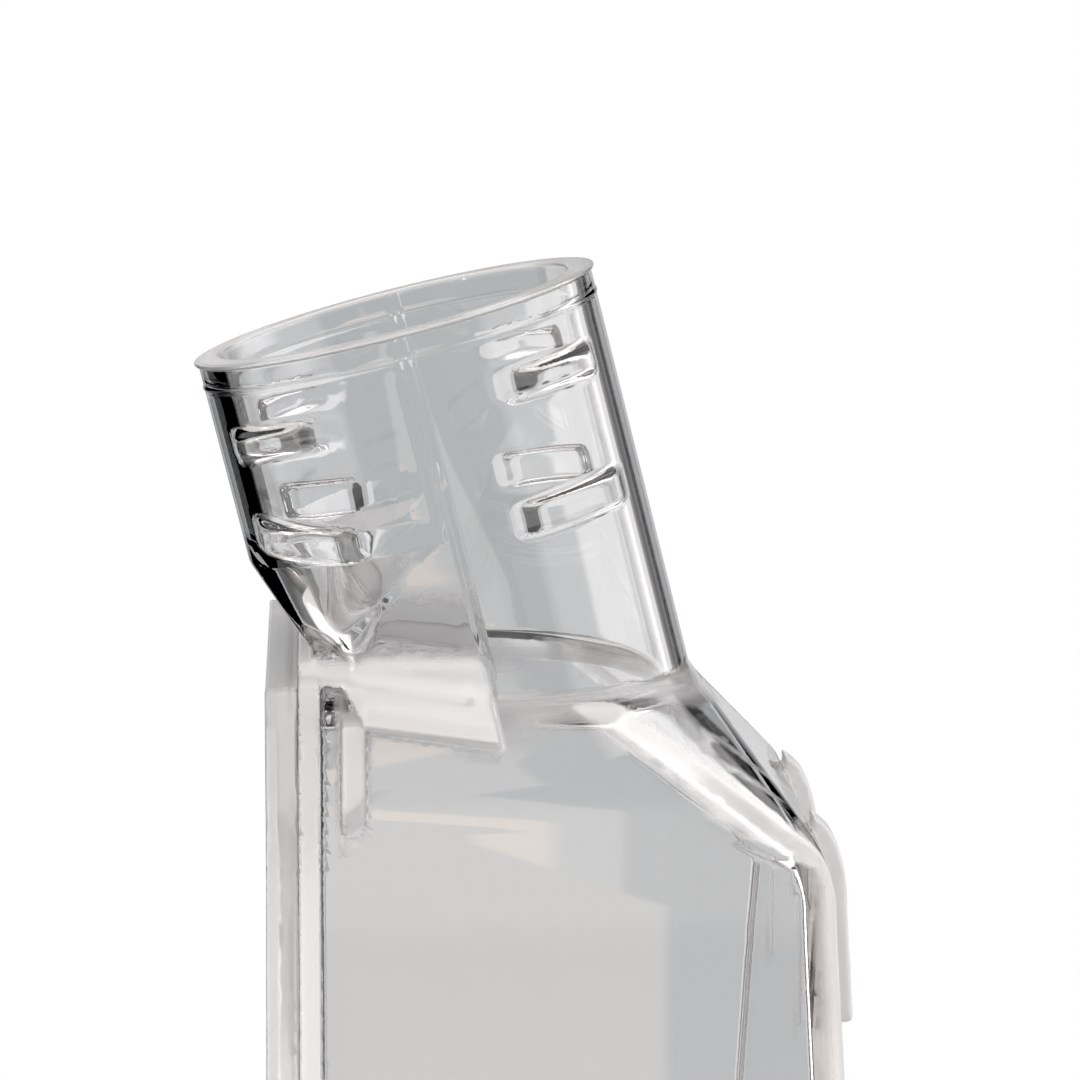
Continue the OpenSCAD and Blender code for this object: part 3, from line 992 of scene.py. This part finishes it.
@dataclass(frozen=True)
class Studio:
    """The floor, the lights and the camera.

    Args:
        camera_at: place of the camera, in millimetres from the weld face, the middle and the bottom.
        forward: direction that the camera looks in.
        right: direction to the right of the camera's picture.
        lens: focal length of the camera, in millimetres.
        floor_r: radius of the floor, in metres.
        matt_r: radius within which the floor is whole, in metres.
        room: light of the room where no panel stands.
        floor_seen: brightness of the floor's matt face.
        floor_through: light of the floor as it shows through the plastic.
        panels: panels, in the order that they cover each other.
    """

    camera_at: tuple[float, float, float] = (1.72, -366.84, 183.6)
    forward: tuple[float, float, float] = (0.0424, 0.9871, -0.1544)
    right: tuple[float, float, float] = (0.9991, -0.0429, 0.0)
    lens: float = 171.2
    floor_r: float = 0.3
    matt_r: float = 0.11
    room: tuple[float, float, float] = (0.72, 0.72, 0.72)
    floor_seen: float = 0.86
    floor_through: tuple[float, float, float] = (0.66, 0.63, 0.61)
    panels: tuple[Panel, ...] = PANELS

    def camera(self) -> bpy.types.Object:
        """Place the camera."""
        data = bpy.data.cameras.new("camera")
        data.sensor_width = 36.0
        data.lens = self.lens
        data.clip_start = 0.01
        camera = bpy.data.objects.new("camera", data)
        right, forward = Vector(self.right).normalized(), Vector(self.forward).normalized()
        up = right.cross(forward).normalized()
        turn = Matrix((right, up, -forward)).transposed()
        place = Vector(self.camera_at) - Vector((SIZES.origin_x, 0.0, 0.0))
        camera.matrix_world = Matrix.Translation(place * MM) @ turn.to_4x4()
        bpy.context.scene.collection.objects.link(camera)
        bpy.context.scene.camera = camera
        return camera

    def floor(self) -> bpy.types.Object:
        """Lay the round floor, which fades into the white round it."""
        steps = 96
        turns = [2.0 * math.pi * i / steps for i in range(steps)]
        mesh = bpy.data.meshes.new("floor")
        mesh.from_pydata([(self.floor_r * math.cos(t), self.floor_r * math.sin(t), 0.0) for t in turns], [],
                         [tuple(range(steps))])
        floor = bpy.data.objects.new("floor", mesh)
        bpy.context.scene.collection.objects.link(floor)
        mesh.materials.append(self.floor_material())
        return floor

    def floor_material(self) -> bpy.types.Material:
        """Build the floor's finish: pale and matt, plain grey through the plastic, gone at its edge."""
        material = bpy.data.materials.new("pale_floor")
        material.use_nodes = True
        nodes, links = material.node_tree.nodes, material.node_tree.links
        matt = nodes["Principled BSDF"]
        matt.inputs["Base Color"].default_value = (self.floor_seen, self.floor_seen, self.floor_seen, 1.0)
        matt.inputs["Roughness"].default_value = 0.9
        matt.inputs["Specular IOR Level"].default_value = 0.0
        plain = nodes.new("ShaderNodeEmission")
        plain.inputs["Color"].default_value = (*self.floor_through, 1.0)
        path = nodes.new("ShaderNodeLightPath")
        through = nodes.new("ShaderNodeMath")
        through.operation = "MAXIMUM"
        place = nodes.new("ShaderNodeTexCoord")
        away = nodes.new("ShaderNodeVectorMath")
        away.operation = "LENGTH"
        fade = nodes.new("ShaderNodeMapRange")
        fade.interpolation_type = "SMOOTHSTEP"
        fade.inputs["From Min"].default_value = self.matt_r
        fade.inputs["From Max"].default_value = 0.95 * self.floor_r
        clear = nodes.new("ShaderNodeBsdfTransparent")
        tone, mix = nodes.new("ShaderNodeMixShader"), nodes.new("ShaderNodeMixShader")
        links.new(path.outputs["Is Transmission Ray"], through.inputs[0])
        links.new(path.outputs["Is Glossy Ray"], through.inputs[1])
        links.new(through.outputs["Value"], tone.inputs["Fac"])
        links.new(matt.outputs["BSDF"], tone.inputs[1])
        links.new(plain.outputs["Emission"], tone.inputs[2])
        links.new(place.outputs["Object"], away.inputs[0])
        links.new(away.outputs["Value"], fade.inputs["Value"])
        links.new(fade.outputs["Result"], mix.inputs["Fac"])
        links.new(tone.outputs["Shader"], mix.inputs[1])
        links.new(clear.outputs["BSDF"], mix.inputs[2])
        links.new(mix.outputs["Shader"], nodes["Material Output"].inputs["Surface"])
        return material

    def world(self) -> None:
        """Set the soft light and the cloths all round, and the plain white ground behind."""
        world = bpy.data.worlds.new("studio")
        world.use_nodes = True
        bpy.context.scene.world = world
        tree = world.node_tree
        nodes, links = tree.nodes, tree.links
        around = nodes.new("ShaderNodeTexCoord")
        parts = nodes.new("ShaderNodeSeparateXYZ")
        links.new(around.outputs["Generated"], parts.inputs["Vector"])
        height = nodes.new("ShaderNodeMath")
        height.operation = "ARCSINE"
        links.new(parts.outputs["Z"], height.inputs[0])
        room = nodes.new("ShaderNodeRGB")
        room.outputs["Color"].default_value = (*self.room, 1.0)
        light = room.outputs["Color"]
        for panel in self.panels:
            light = self.hang(tree, panel, around.outputs["Generated"], height.outputs["Value"], light)
        path = nodes.new("ShaderNodeLightPath")
        seen = nodes.new("ShaderNodeMixRGB")
        seen.inputs["Color2"].default_value = (1.0, 1.0, 1.0, 1.0)
        links.new(path.outputs["Is Camera Ray"], seen.inputs["Fac"])
        links.new(light, seen.inputs["Color1"])
        links.new(seen.outputs["Color"], nodes["Background"].inputs["Color"])
        nodes["Background"].inputs["Strength"].default_value = 1.0

    def hang(self, tree: bpy.types.NodeTree, panel: Panel, around: bpy.types.NodeSocket,
             height: bpy.types.NodeSocket, light: bpy.types.NodeSocket) -> bpy.types.NodeSocket:
        """Add a panel to the studio's light.

        Args:
            tree: the world's node tree.
            panel: the panel.
            around: socket of the direction.
            height: socket of the angle above level, radians.
            light: socket of the light so far.

        Returns:
            the socket of the light with the panel in it.
        """
        turn = tree.nodes.new("ShaderNodeVectorRotate")
        turn.rotation_type = "Z_AXIS"
        turn.inputs["Angle"].default_value = math.radians(panel.centre)
        parts = tree.nodes.new("ShaderNodeSeparateXYZ")
        heading = tree.nodes.new("ShaderNodeMath")
        heading.operation = "ARCTAN2"
        tree.links.new(around, turn.inputs["Vector"])
        tree.links.new(turn.outputs["Vector"], parts.inputs["Vector"])
        tree.links.new(parts.outputs["X"], heading.inputs[0])
        tree.links.new(parts.outputs["Y"], heading.inputs[1])
        wide = soft_band(tree, heading.outputs["Value"], 0.0, 0.5 * panel.span, panel.soft)
        lean = tree.nodes.new("ShaderNodeMath")
        lean.operation = "MULTIPLY_ADD"
        lean.inputs[1].default_value = -panel.slope
        tree.links.new(heading.outputs["Value"], lean.inputs[0])
        tree.links.new(height, lean.inputs[2])
        tall = soft_band(tree, lean.outputs["Value"], 0.5 * (panel.low + panel.high),
                         0.5 * (panel.high - panel.low), panel.soft)
        share = tree.nodes.new("ShaderNodeMath")
        share.operation = "MULTIPLY"
        mix = tree.nodes.new("ShaderNodeMixRGB")
        mix.label = panel.name
        mix.inputs["Color2"].default_value = (*panel.light, 1.0)
        tree.links.new(wide, share.inputs[0])
        tree.links.new(tall, share.inputs[1])
        tree.links.new(share.outputs["Value"], mix.inputs["Fac"])
        tree.links.new(light, mix.inputs["Color1"])
        return mix.outputs["Color"]


def main() -> None:
    """Build the flask, its finishes, the stage and the lights."""
    logging.basicConfig(level=logging.INFO, format="%(name)s: %(message)s")
    shell = BodyShell()
    moulding = shell.build()
    moulding.data.materials.append(SHELL_PLASTIC.material())
    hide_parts("body_shell")
    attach(moulding, "root")
    LOG.info("shell: %d faces", len(moulding.data.polygons))

    plate = TopPlate(shell).build()
    plate.data.materials.append(PLATE_PLASTIC.material())
    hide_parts("top_plate")
    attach(plate, "root")
    LOG.info("plate: %d faces", len(plate.data.polygons))

    studio = Studio()
    studio.floor()
    studio.world()
    studio.camera()
    bpy.context.scene.view_settings.view_transform = "Standard"


if __name__ == "__main__":
    main()
